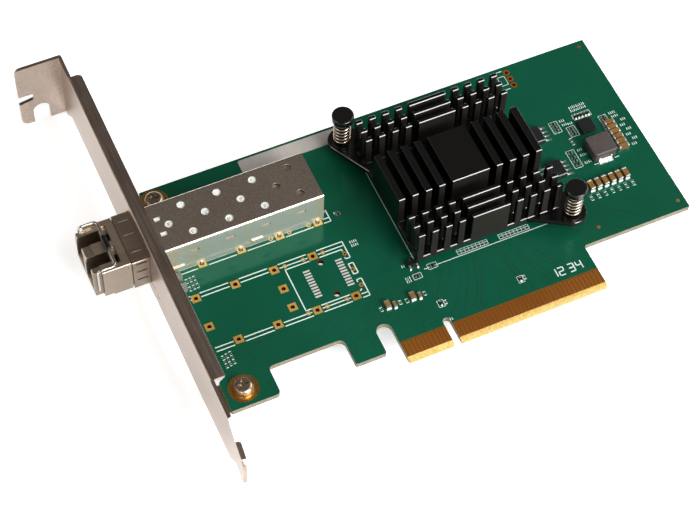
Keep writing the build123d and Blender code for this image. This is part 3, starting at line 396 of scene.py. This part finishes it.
along_x = (0.04, 1.0, 1.0)
along_y = (1.0, 0.04, 1.0)
finishes = {
    "board_green": board_finish(),
    "contact_gold": metal_finish("gold plate", (0.70, 0.33, 0.06, 1), (0.86, 0.47, 0.11, 1), 0.26, along_y),
    "tin_plate": metal_finish("dull tin", (0.72, 0.71, 0.70, 1), (0.88, 0.87, 0.85, 1), 0.36, scale=900.0),
    "bracket_nickel": metal_finish("brushed nickel", (0.38, 0.30, 0.25, 1), (0.60, 0.50, 0.43, 1), 0.32,
                                   along_y, 0.014 * mm, side_light_kept=0.94),
    "screw_nickel": metal_finish("screw plate", (0.42, 0.33, 0.24, 1), (0.56, 0.46, 0.35, 1), 0.28),
    "cage_steel": cage_finish(),
    "collar_steel": metal_finish("collar metal", (0.46, 0.36, 0.28, 1), (0.58, 0.47, 0.38, 1), 0.32,
                                 along_x, 0.012 * mm, side_light_kept=0.57),
    "module_cast": metal_finish("cast body", (0.50, 0.41, 0.31, 1), (0.66, 0.57, 0.45, 1), 0.3,
                                scale=700.0, side_light_kept=0.5),
    "module_cover": metal_finish("cover sheet", (0.66, 0.54, 0.43, 1), (0.82, 0.69, 0.56, 1), 0.32,
                                 along_x, side_light_kept=0.52),
    "optic_metal": metal_finish("turned metal", (0.50, 0.48, 0.44, 1), (0.66, 0.63, 0.58, 1), 0.25),
    "bail_wire": metal_finish("drawn wire", (0.50, 0.46, 0.41, 1), (0.64, 0.60, 0.55, 1), 0.2, scale=800.0),
    "sleeve_black": plastic_finish("sleeve plastic", (0.003, 0.003, 0.003, 1), (0.006, 0.006, 0.006, 1),
                                   0.22),
    "connector_black": plastic_finish("connector plastic", (0.012, 0.012, 0.013, 1),
                                      (0.024, 0.024, 0.025, 1), 0.5),
    "heatsink_black": anodised_finish(),
    "pin_black": plastic_finish("pin plastic", (0.002, 0.002, 0.0024, 1), (0.004, 0.004, 0.0045, 1), 0.12,
                                0.001 * mm, coat=0.4),
    "spring_nickel": metal_finish("spring wire", (0.50, 0.42, 0.34, 1), (0.64, 0.55, 0.46, 1), 0.2,
                                  scale=800.0),
    "pad_grey": plastic_finish("soft pad", (0.35, 0.36, 0.38, 1), (0.45, 0.46, 0.48, 1), 0.7),
    "substrate_green": plastic_finish("chip substrate", (0.010, 0.09, 0.040, 1), (0.014, 0.12, 0.055, 1),
                                      0.35),
    "lid_metal": metal_finish("lid plate", (0.45, 0.45, 0.45, 1), (0.6, 0.6, 0.6, 1), 0.35),
    "chip_black": plastic_finish("chip moulding", (0.006, 0.006, 0.007, 1), (0.014, 0.014, 0.015, 1), 0.32),
    "ferrite_grey": plastic_finish("pressed powder", (0.056, 0.044, 0.040, 1), (0.092, 0.075, 0.069, 1),
                                   0.42, 0.02 * mm, 1400.0),
    "capacitor_tan": plastic_finish("fired ceramic", (0.175, 0.088, 0.021, 1), (0.265, 0.142, 0.041, 1),
                                    0.3, fine_scale=900.0, cloud_scale=500.0),
    "resistor_black": plastic_finish("resistor glaze", (0.006, 0.006, 0.007, 1), (0.014, 0.014, 0.016, 1),
                                     0.25),
    "light_clear": light_finish(),
    "label_white": plastic_finish("coated paper", (0.76, 0.76, 0.74, 1), (0.83, 0.83, 0.81, 1), 0.55,
                                  0.006 * mm, 1200.0),
}
white_ink = plastic_finish("white ink", (0.60, 0.72, 0.65, 1), (0.72, 0.82, 0.76, 1), 0.45, 0.003 * mm,
                           1600.0)
solder = metal_finish("solder", (0.50, 0.49, 0.47, 1), (0.66, 0.65, 0.62, 1), 0.3, scale=700.0)
copper_dot = metal_finish("plated copper", (0.55, 0.30, 0.14, 1), (0.72, 0.44, 0.22, 1), 0.32)

slot_of = {part["node"]: part["material_slot"] for part in frame["record"]["subparts"]}
finish_of = {node: finishes[slot] for node, slot in slot_of.items()}
finish_of.update({
    "spare_port_pads": pad_finish("port pads", (0.58, 0.25, 0.030, 1), (0.90, 0.56, 0.14, 1), 0.62),
    "used_port_pads": pad_finish("soldered pads", (0.66, 0.40, 0.09, 1), (0.80, 0.55, 0.18, 1), 0.62),
    "spare_port_lands": pad_finish("tinned lands", (0.72, 0.68, 0.64, 1), (0.84, 0.80, 0.76, 1), 0.35),
    "header_pads": pad_finish("header pads", (0.42, 0.11, 0.012, 1), (0.55, 0.17, 0.022, 1), 0.6),
    "contacts_front": pad_finish("contact strips", (0.27, 0.080, 0.008, 1), (0.38, 0.135, 0.018, 1), 0.5),
    "blank_label": plastic_finish("grey paper", (0.40, 0.37, 0.34, 1), (0.47, 0.44, 0.41, 1), 0.5,
                                  0.006 * mm, 1200.0),
})


def dress(thing, finish):
    thing.data.materials.clear()
    thing.data.materials.append(finish)


for node, thing in nodes.items():
    if thing.data.materials:
        for place in thing.material_slots:
            place.material = finish_of[node]
    else:
        thing.data.materials.append(finish_of[node])


# Modelling helpers

def nothing_selected():
    if bpy.context.mode != "OBJECT":
        bpy.ops.object.mode_set(mode="OBJECT")
    bpy.ops.object.select_all(action="DESELECT")


def only(thing):
    nothing_selected()
    thing.select_set(True)
    bpy.context.view_layer.objects.active = thing


def settle(thing):
    """Puts the place, turn and size of a finished piece into its mesh."""
    only(thing)
    bpy.ops.object.transform_apply(location=True, rotation=True, scale=True)


def bevelled(thing, width, segments, held=True):
    """Breaks the edges that turn by more than 40 degrees; held stops one edge from running into another."""
    only(thing)
    bevel = thing.modifiers.new("Bevel", "BEVEL")
    bevel.width = width
    bevel.segments = segments
    bevel.limit_method = "ANGLE"
    bevel.angle_limit = math.radians(40)
    bevel.use_clamp_overlap = held
    bpy.ops.object.modifier_apply(modifier=bevel.name)


def smooth_evenly(thing):
    """Smooth round parts, with the large faces kept flat up to their broken edges."""
    only(thing)
    bpy.ops.object.shade_smooth_by_angle(angle=math.radians(30))
    even = thing.modifiers.new("Even", "WEIGHTED_NORMAL")
    even.keep_sharp = True
    bpy.ops.object.modifier_apply(modifier=even.name)


def body_of_node(node):
    for body, names in frame["record"]["behaviour"]["bodies"].items():
        if node in names:
            return body


def soften(node, width, segments, held=True, flat=False):
    """A copy of a CAD piece with its edges broken, which stands for that piece; flat leaves it unsmoothed."""
    nothing_selected()
    piece = bpy.data.objects.new(node + "_soft", nodes[node].data.copy())
    bpy.context.collection.objects.link(piece)
    only(piece)
    bpy.ops.object.mode_set(mode="EDIT")
    bpy.ops.mesh.select_all(action="SELECT")
    bpy.ops.mesh.remove_doubles(threshold=0.002 * mm)
    bpy.ops.mesh.dissolve_limited(angle_limit=math.radians(1))
    bpy.ops.object.mode_set(mode="OBJECT")
    bevelled(piece, width * mm, segments, held)
    if flat:
        only(piece)
        bpy.ops.object.shade_flat()
    else:
        smooth_evenly(piece)
    dress(piece, finish_of[node])
    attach(piece, body_of_node(node))
    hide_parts(node)


def bar(x0, y0, x1, y1, width, z, thick=0.02):
    """A thin flat bar between two points on the board, in millimetres."""
    nothing_selected()
    length = math.hypot(x1 - x0, y1 - y0)
    bpy.ops.mesh.primitive_cube_add(size=1, location=((x0 + x1) / 2 * mm, (y0 + y1) / 2 * mm, z * mm))
    made = bpy.context.object
    made.scale = (length * mm, width * mm, thick * mm)
    made.rotation_euler = (0, 0, math.atan2(y1 - y0, x1 - x0))
    settle(made)
    return made


def disc(x, y, radius, z, thick):
    nothing_selected()
    bpy.ops.mesh.primitive_cylinder_add(vertices=20, radius=radius * mm, depth=thick * mm,
                                        location=(x * mm, y * mm, z * mm))
    made = bpy.context.object
    settle(made)
    return made


def arc(x, y, inner, outer, start, sweep, z, thick=0.02):
    """A flat arc: a small upright strip spun about the centre."""
    nothing_selected()
    middle = (inner + outer) / 2
    bpy.ops.mesh.primitive_plane_add(size=1, location=(middle * mm, 0, 0), rotation=(math.pi / 2, 0, 0))
    made = bpy.context.object
    made.scale = ((outer - inner) * mm, thick * mm, 1)
    settle(made)
    bpy.ops.object.mode_set(mode="EDIT")
    bpy.ops.mesh.select_all(action="SELECT")
    bpy.ops.mesh.spin(steps=32, angle=math.radians(sweep), center=(0, 0, 0), axis=(0, 0, 1), dupli=False)
    bpy.ops.mesh.select_all(action="SELECT")
    bpy.ops.mesh.remove_doubles(threshold=0.001 * mm)
    bpy.ops.mesh.normals_make_consistent(inside=False)
    bpy.ops.object.mode_set(mode="OBJECT")
    made.rotation_euler = (0, 0, math.radians(start))
    made.location = (x * mm, y * mm, z * mm)
    settle(made)
    return made


def joined(name, pieces, finish, body):
    """Joins like pieces into one object that rides on a body."""
    nothing_selected()
    for piece in pieces:
        piece.select_set(True)
    bpy.context.view_layer.objects.active = pieces[0]
    if len(pieces) > 1:
        bpy.ops.object.join()
    whole = bpy.context.view_layer.objects.active
    whole.name = name
    dress(whole, finish)
    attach(whole, body)


# Edges of the larger pieces: width in millimetres and number of steps

soften("heatsink", 0.15, 1, held=False, flat=True)
for node, width, segments in (
        ("mounting_bracket", 0.12, 2), ("circuit_board", 0.05, 1), ("bracket_screws", 0.08, 2),
        ("transceiver_housing", 0.08, 2), ("inductor_core", 0.10, 2), ("inductor_terminals", 0.05, 2),
        ("memory_chip_body", 0.05, 2), ("config_chip_body", 0.05, 2), ("regulator_chip", 0.06, 2),
        ("row_capacitor_caps", 0.08, 2), ("column_capacitor_caps", 0.06, 2),
        ("memory_chip_leads", 0.04, 2), ("config_chip_leads", 0.04, 2)):
    soften(node, width, segments)


# White ink on the board, in millimetres

ink_z = 0.01
wide = 0.28
fine = 0.2
hair = 0.13
row_start, row_end = -52.6, -13.5


def row_with_gaps(y, pads):
    """A wide line along X at one height, broken where pads stand in the way."""
    pad_gap = 1.35
    pieces = []
    start = row_start
    for pad in pads:
        pieces.append((start, y, pad - pad_gap, y, wide))
        start = pad + pad_gap
    pieces.append((start, y, row_end, y, wide))
    return pieces


def outline(x0, x1, y0, y1, width):
    return [(x0, y0, x1, y0, width), (x0, y1, x1, y1, width), (x0, y0, x0, y1, width),
            (x1, y0, x1, y1, width)]


def grid_box(x0, x1):
    """The low box of small cells below the heatsink: three long lines and nine short ones."""
    low, cells = 22.1, 8
    pieces = [(x0, low + row, x1, low + row, hair) for row in (0.0, 0.75, 1.3)]
    for i in range(cells + 1):
        x = x0 + (x1 - x0) * i / cells
        pieces.append((x, low, x, low + 1.3, hair))
    return pieces


upper_pads = (-51.65, -41.65, -31.65, -21.65)
lower_pads = (-46.65, -36.65, -26.65, -16.65)
lines = []
for y in (spare_y + 8.2, spare_y + 7.1):
    lines += row_with_gaps(y, upper_pads)
for y in (spare_y - 7.15, spare_y - 8.2, port_y - 8.05, port_y - 6.9):
    lines += row_with_gaps(y, lower_pads)

# The ends of the rows, and the outline of the connector place between them
place_left, place_right = -29.2, -14.7
place_low, place_high = 22.1, 34.5
step_low, step_high = 25.3, 31.7
lines += [(x0, y0, x1, y1, wide) for x0, y0, x1, y1 in (
    (row_end, spare_y + 8.2, row_end, step_high), (place_right, step_high, row_end, step_high),
    (place_right, step_high, place_right, 32.2), (place_right, step_low, row_end, step_low),
    (row_end, step_low, row_end, spare_y - 8.2), (place_right, 24.6, place_right, step_low),
    (place_left, place_low, place_left, place_high), (-29.3, place_high, -22.9, place_high),
    (-20.3, place_high, -14.5, place_high), (-14.5, place_high, -14.5, 33.9),
    (-29.3, place_low, -27.8, place_low), (-25.3, place_low, -17.9, place_low),
    (-15.2, place_low, -14.6, 22.5), (row_end, port_y - 8.05, row_end, 46.5))]

# Two sides of the heatsink, then marks at the header and at the row of capacitors
lines += [(x0, y0, x1, y1, fine) for x0, y0, x1, y1 in (
    (0.2, 25.0, 0.2, 56.8), (1.3, 21.6, 36.6, 21.6), (42.0, 67.8, 45.0, 67.8), (42.0, 62.0, 44.8, 62.0),
    (53.2, 32.6, 54.5, 32.6), (58.9, 32.6, 60.1, 32.6))]

# A box at the connector place, then boxes round the header and the small parts
lines += outline(place_right, row_end, 27.0, 30.1, wide)
for box in ((43.0, 44.9, 63.4, 66.2), (48.4, 50.6, 44.8, 48.3), (51.9, 54.1, 42.2, 45.4),
            (48.3, 50.5, 33.3, 38.8), (60.9, 63.0, 43.2, 45.4), (55.0, 59.8, 46.6, 48.3),
            (0.1, 1.6, 10.4, 12.3), (20.5, 21.9, 9.0, 10.9), (-2.1, 0.1, 19.7, 21.2),
            (2.3, 4.7, 21.0, 22.5)):
    lines += outline(*box, hair)
lines += grid_box(10.6, 18.7) + grid_box(21.8, 29.8)
ink_bars = [bar(x0, y0, x1, y1, width, ink_z) for x0, y0, x1, y1, width in lines]

# An arc round the ear of the lower push pin
ink_bars.append(arc(40.8, 20.3, 2.4, 2.65, 190, 120, ink_z))


def tick_marks(x, y, count, upright, pitch=0.5, length=0.72):
    """A short run of small plain marks beside a part, every second one with a cross stroke."""
    mark_width, cross_width, cross_reach = 0.22, 0.2, 0.1
    made = []
    for i in range(count):
        cx = x if upright else x + pitch * i
        cy = y + pitch * i if upright else y
        dx, dy = (length / 2, 0) if upright else (0, length / 2)
        made.append(bar(cx - dx, cy - dy, cx + dx, cy + dy, mark_width, ink_z))
        if i % 2:
            reach = dx / 2 + cross_reach
            made.append(bar(cx - reach, cy + dy / 2, cx + reach, cy + dy / 2, cross_width, ink_z))
    return made


# Marks at the two runs of six capacitors
for i in range(7):
    ink_bars += tick_marks(47.9 + row_step * i, 23.3, 4, True)
for i in range(6):
    ink_bars += tick_marks(65.0 + (i % 2) * 0.9, 34.5 + column_step * i, 3, False)

# Marks at the small parts: place, number of marks, and whether they stand one above the other
for x, y, count, upright in (
        (64.2, 44.0, 4, False), (64.0, 45.2, 4, False), (51.4, 47.8, 3, False), (51.5, 46.5, 3, False),
        (51.4, 38.1, 3, False), (51.4, 36.4, 4, False), (51.4, 34.0, 4, False), (53.0, 46.3, 3, False),
        (55.5, 49.6, 9, False), (55.5, 50.6, 9, False), (51.3, 40.0, 5, True), (-12.8, 14.9, 3, True),
        (-7.9, 14.9, 3, True), (-6.2, 14.7, 3, True), (-1.5, 14.9, 3, True), (2.0, 10.8, 3, True),
        (22.3, 9.6, 3, True), (-11.9, 44.7, 3, False), (-11.8, 34.5, 4, False), (-11.8, 35.6, 4, False),
        (-3.9, 19.9, 3, False), (-3.9, 20.8, 3, False), (1.0, 6.6, 2, False), (-3.3, 24.3, 2, False)):
    ink_bars += tick_marks(x, y, count, upright)

# Small marks by the bracket, seen past its flange
for x, y in ((-51.9, 37.9), (-50.9, 38.0), (-49.9, 38.1), (-51.9, 15.2), (-50.9, 15.4), (-49.9, 15.6)):
    ink_bars += tick_marks(x, y, 7, True, 0.56, 0.6)

# A plain number by the tongue, drawn with the seven strokes of a counter
number_y = 7.0
digit_width = 1.3
stroke_height = 1.1
stroke_width = 0.3
strokes = {"a": (0, 2, 1, 2), "b": (1, 1, 1, 2), "c": (1, 0, 1, 1), "d": (0, 0, 1, 0), "e": (0, 0, 0, 1),
           "f": (0, 1, 0, 2), "g": (0, 1, 1, 1)}
for x, drawn in ((28.6, "bc"), (30.6, "abged"), (33.3, "abgcd"), (35.3, "fgbc")):
    for stroke in drawn:
        x0, y0, x1, y1 = strokes[stroke]
        ink_bars.append(bar(x + digit_width * x0, number_y + stroke_height * y0,
                            x + digit_width * x1, number_y + stroke_height * y1, stroke_width, ink_z))
joined("board_ink", ink_bars, white_ink, "card")


# Solder at the leads and end caps, in millimetres

pad_top = 0.005


def solder_wedge(x, y, angle, width, height, run):
    """A sloping fillet of solder: a block whose outer top edge is drawn down to the pad."""
    drop = 0.8
    nothing_selected()
    bpy.ops.mesh.primitive_cube_add(size=1)
    made = bpy.context.object
    for vertex in made.data.vertices:
        vertex.select = vertex.co.x > 0 and vertex.co.z > 0
    bpy.ops.object.mode_set(mode="EDIT")
    bpy.ops.mesh.select_mode(type="EDGE")
    bpy.ops.transform.translate(value=(0, 0, -drop))
    bpy.ops.object.mode_set(mode="OBJECT")
    made.scale = (run * mm, width * mm, height * mm)
    turn = math.radians(angle)
    made.rotation_euler = (0, 0, turn)
    made.location = ((x + math.cos(turn) * run / 2) * mm, (y + math.sin(turn) * run / 2) * mm,
                     (height / 2 + pad_top) * mm)
    settle(made)
    return made


def wedge_pair(x, y, along_board, reach, width, height, run):
    """Two fillets that face away from each other, at the ends of a part or of a pair of leads."""
    made = []
    for side in (0, 180):
        angle = side if along_board else side + 90
        turn = math.radians(angle)
        made.append(solder_wedge(x + math.cos(turn) * reach, y + math.sin(turn) * reach, angle,
                                 width, height, run))
    return made


# Length and width of each kind of part, and the height of its fillets
part_sizes = {"large": (2.7, 1.25, 0.55), "medium": (2.0, 1.25, 0.45), "narrow": (1.6, 0.8, 0.35),
              "small": (1.0, 0.5, 0.2)}

# Kind, place, and whether the part lies along the board
placed = [("large", 62.3, 34.45 + column_step * i, True) for i in range(6)]
placed += [("large", 49.2 + row_step * i, 27.05, False) for i in range(6)]
placed += [("medium", -11.0, 15.8, False), ("medium", -4.6, 15.7, False),
           ("narrow", -9.4, 15.2, False), ("narrow", -2.9, 15.2, False)]
placed += [("small", x, y, True) for x, y in (
    (49.35, 47.6), (49.35, 46.6), (49.35, 45.5), (52.9, 44.7), (52.9, 43.8), (52.9, 42.9), (49.3, 38.1),
    (49.3, 36.5), (49.3, 35.4), (49.5, 34.1), (62.0, 44.8), (61.9, 43.8), (-11.1, 44.2), (-1.0, 20.4),
    (3.5, 21.7))]
placed += [("small", x, y, False) for x, y in (
    (55.6, 47.4), (56.5, 47.4), (57.4, 47.4), (58.3, 47.4), (59.2, 47.4), (0.85, 11.3), (21.2, 9.9))]

cap_run = 0.3
overlap = 0.02
fillets = []
for kind, x, y, along_board in placed:
    length, width, height = part_sizes[kind]
    fillets += wedge_pair(x, y, along_board, length / 2 - overlap, width, height, cap_run)

# The two chips with four leads a side; a fillet is its width, height and run
lead_pitch = 1.27
lead_reach = 2.95
lead_fillet = (0.6, 0.2, 1.0)
for x, y in ((43.15, 45.7), (43.4, 34.5)):
    for i in range(4):
        fillets += wedge_pair(x, y + lead_pitch * (i - 1.5), True, lead_reach, *lead_fillet)

# The three leads of the transistor
transistor_fillet = (0.55, 0.45, 0.8)
for x, y, angle in ((-1.65, 22.7, 270), (0.25, 22.7, 270), (-0.7, 25.1, 90)):
    fillets.append(solder_wedge(x, y, angle, *transistor_fillet))
joined("solder_fillets", fillets, solder, "card")


# Paper label on the transceiver, seen through the vents

label_start, label_end = -62.6, -26.6
label_width = 11.4
label_z = 9.915
module_label = bar(label_start, port_y, label_end, port_y, label_width, label_z)
bevelled(module_label, 0.005 * mm, 1)
joined("module_label", [module_label], finishes["label_white"], "card")

# Three small bars at each of eight vents, the lower ones shorter
mark_step = 0.35
mark_z = label_z + 0.012
marks = []
for x, y, length in ((-51.8, 51.2, 0.9), (-47.3, 47.2, 0.8), (-42.4, 51.0, 0.9), (-38.2, 47.0, 1.0),
                     (-33.4, 51.2, 0.8), (-56.4, 47.0, 0.9), (-28.9, 47.2, 0.9), (-29.1, 55.0, 0.5)):
    for i in range(3):
        mark_y = y - mark_step * (i - 1)
        marks.append(bar(x - length / 2, mark_y, x + length / 2 - 0.2 * i, mark_y, 0.14, mark_z, 0.003))
joined("module_label_marks", marks, finishes["chip_black"], "card")


# Bare copper sighting dots

dots = [disc(x, y, radius=0.5, z=0.02, thick=0.04) for x, y in ((67.0, 67.1), (67.0, 15.0), (45.4, 15.8))]
joined("sighting_dots", dots, copper_dot, "card")


# Floor

floor_size = 8
floor_height = cad_box[0][2] - 0.3 * mm
floor_glow = 0.62
nothing_selected()
bpy.ops.mesh.primitive_plane_add(size=floor_size, location=(0, 0, floor_height))
floor = bpy.context.object
floor.name = "floor"
finish, tree, shader, here = new_finish("pale floor")
speckle = add_grain(tree, here, 60.0, 3.0)
light_path = tree.nodes.new("ShaderNodeLightPath").outputs
seen = math_node(tree, "MAXIMUM", light_path["Is Camera Ray"], light_path["Is Glossy Ray"])
fill(tree, shader, {
    "Base Color": mix_colour(tree, speckle["Cloud"], (0.86, 0.86, 0.86, 1), (0.89, 0.89, 0.89, 1)),
    "Roughness": 0.9,
    "Specular IOR Level": 0.1,
    "Emission Color": (1, 1, 1, 1),
    "Emission Strength": times(tree, seen, floor_glow)})
floor.data.materials.append(finish)


# World: warm grey, darker overhead, and nearly black high up on the far side

world = bpy.data.worlds.new("studio")
bpy.context.scene.world = world
world.use_nodes = True
tree = world.node_tree
up = axes_of(tree, tree.nodes.new("ShaderNodeTexCoord").outputs["Generated"])
around = mix_colour(tree, stretch(tree, up["Z"], 0.0, 0.8), (0.40, 0.39, 0.38, 1), (0.150, 0.130, 0.115, 1))
behind = times(tree, stretch(tree, up["Y"], 0.52, 0.66, 0.0, 0.8), over(tree, up["Z"], 0.5))
fill(tree, tree.nodes["Background"], {"Color": mix_colour(tree, behind, around, (0.02, 0.017, 0.015, 1)),
                                      "Strength": 0.9})


# Lamps, in metres and watts

def soft_light(name, place, target, size, power):
    lamp = bpy.data.lights.new(name, "AREA")
    lamp.shape = "RECTANGLE"
    lamp.size, lamp.size_y = size
    lamp.energy = power
    thing = bpy.data.objects.new(name, lamp)
    bpy.context.collection.objects.link(thing)
    thing.location = place
    thing.rotation_euler = (Vector(target) - Vector(place)).to_track_quat("-Z", "Y").to_euler()


card_middle = (0, 0.03, 0)
heatsink_top = (0.03, 0.045, 0.014)
soft_light("front softbox", (0.33, -0.71, 0.75), card_middle, (0.75, 1.0), 10.5)
soft_light("edge strip", (0.368, -0.812, 0.557), heatsink_top, (0.6, 0.2), 7.0)
soft_light("left softbox", (-0.9, 0.05, 0.55), card_middle, (0.5, 0.5), 2.5)
soft_light("right softbox", (0.8, 0.1, 0.7), card_middle, (0.6, 0.6), 3.0)


# Camera, fitted to the photograph

camera_place = (-0.13121, -0.20372, 0.40780)
camera_right = Vector((0.910872, -0.411741, 0.027952))
camera_up = Vector((0.332088, 0.771502, 0.542680))
lens = bpy.data.cameras.new("camera")
lens.sensor_width = 36.0
lens.lens = 104.4
lens.shift_x = -0.0069
lens.shift_y = -0.0026
camera = bpy.data.objects.new("camera", lens)
bpy.context.collection.objects.link(camera)
turn = Matrix((camera_right, camera_up, camera_right.cross(camera_up))).transposed()
camera.matrix_world = Matrix.Translation(camera_place) @ turn.to_4x4()
bpy.context.scene.camera = camera
bpy.context.scene.view_settings.view_transform = "Standard"
